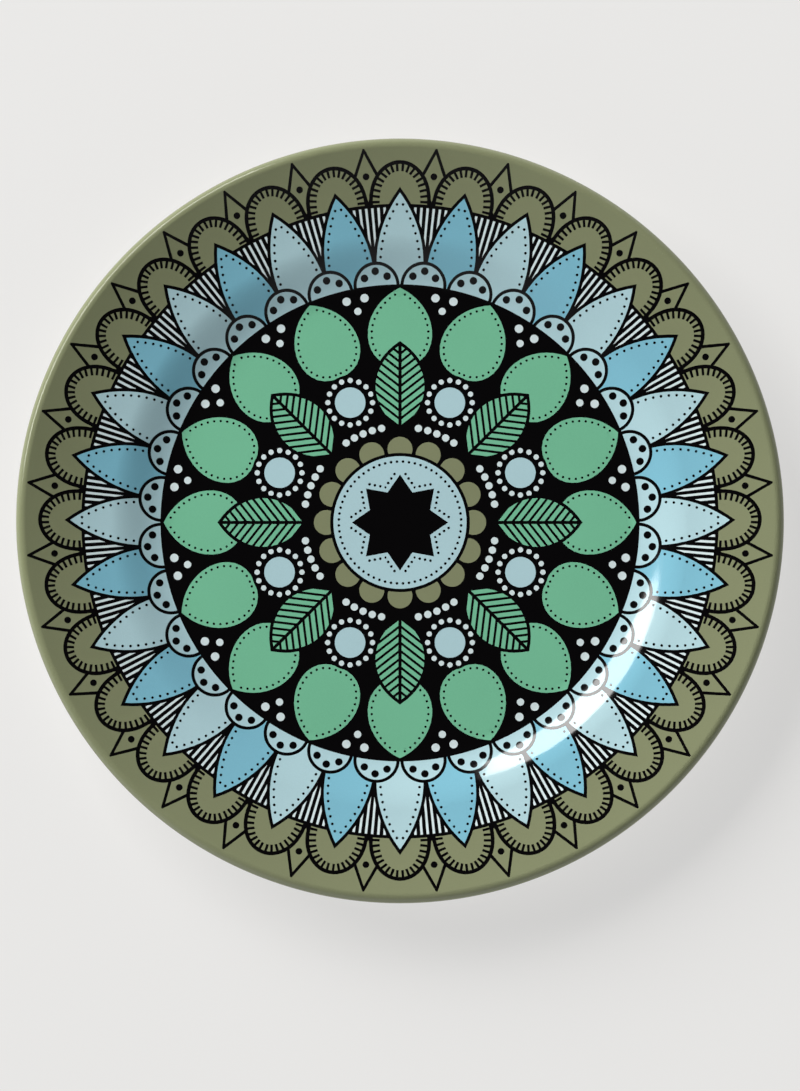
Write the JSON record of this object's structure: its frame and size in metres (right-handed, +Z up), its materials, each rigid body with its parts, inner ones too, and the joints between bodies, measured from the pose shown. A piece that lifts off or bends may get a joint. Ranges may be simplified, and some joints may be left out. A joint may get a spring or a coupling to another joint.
{
  "type": "dinner plate",
  "caption": "Round porcelain dinner plate with a foot ring, white glaze and a full-face printed rosette of leaves, petals and arches with an olive border.",
  "frame": {"origin": "centre of the circle that the foot ring stands on, at table level", "axes": "+Z up along the plate's axis of turning, from the foot ring to the face; +Y is the ornament's top"},
  "size_m": [0.27, 0.27, 0.022],
  "materials": {
    "bisque": "unglazed fired clay, seen only on the sole of the foot ring",
    "white_glaze": "smooth glossy white glaze",
    "centre_print": "glossy fired transfer print in black, green and pale blue",
    "border_print": "glossy fired transfer print in black, two blues, white and olive",
    "olive_paint": "glossy hand-banded olive enamel"
  },
  "bodies": {
    "root": {"porcelain_body": "bisque", "outer_glaze": "white_glaze", "recess_glaze": "white_glaze", "centre_transfer": "centre_print", "border_transfer": "border_print", "edge_band": "olive_paint"}
  },
  "joints": []
}
